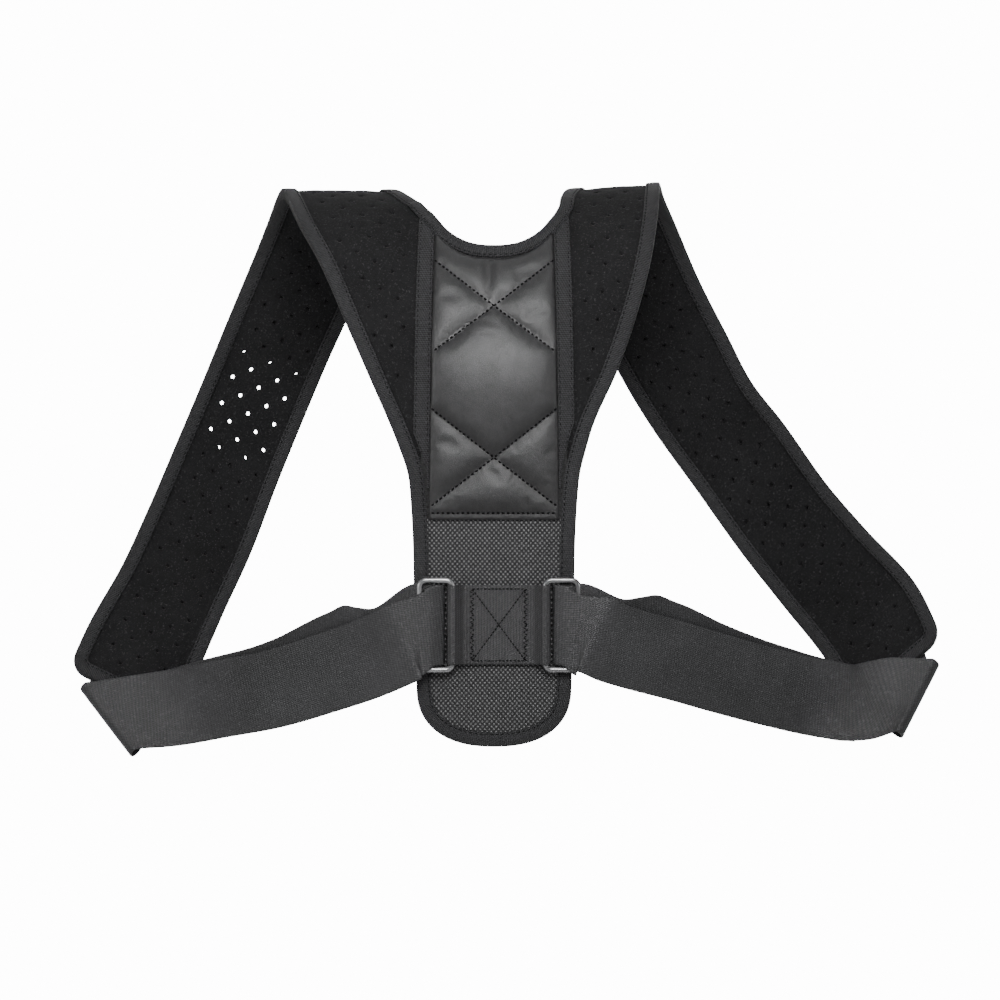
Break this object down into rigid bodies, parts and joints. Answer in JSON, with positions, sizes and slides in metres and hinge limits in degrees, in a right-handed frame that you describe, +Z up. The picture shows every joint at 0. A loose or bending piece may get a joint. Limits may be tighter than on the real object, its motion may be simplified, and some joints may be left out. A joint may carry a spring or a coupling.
{
  "type": "posture corrector",
  "caption": "Worn upper-back posture brace: padded spine panel, perforated shoulder pads bound in tape, and webbing straps through rectangular rings.",
  "frame": {"origin": "midway between the two shoulder ridges, at the height of their top edge", "axes": "+X across the back to the wearer's right, +Y to the wearer's front, +Z up"},
  "size_m": [0.563, 0.1887, 0.3711],
  "materials": {
    "neoprene": "matte knit face over foam, perforated",
    "mesh_cloth": "coarse dotted weave, slight sheen",
    "quilted_leather": "satin, quilted with black stitching",
    "binding_tape": "ribbed woven tape",
    "webbing": "ribbed woven webbing, slight sheen",
    "ring_finish": "smooth dark satin"
  },
  "bodies": {
    "root": {"spine_panel": "mesh_cloth", "quilted_facing": "quilted_leather", "seam_tape_left": "binding_tape", "seam_tape_right": "binding_tape", "shoulder_pad_left": "neoprene", "shoulder_pad_right": "neoprene", "binding_left": "binding_tape", "binding_right": "binding_tape", "binding_hem": "binding_tape", "binding_neck": "binding_tape", "cross_webbing": "webbing", "ring_left": "ring_finish", "ring_right": "ring_finish", "strap_left": "webbing", "strap_right": "webbing"}
  },
  "joints": []
}
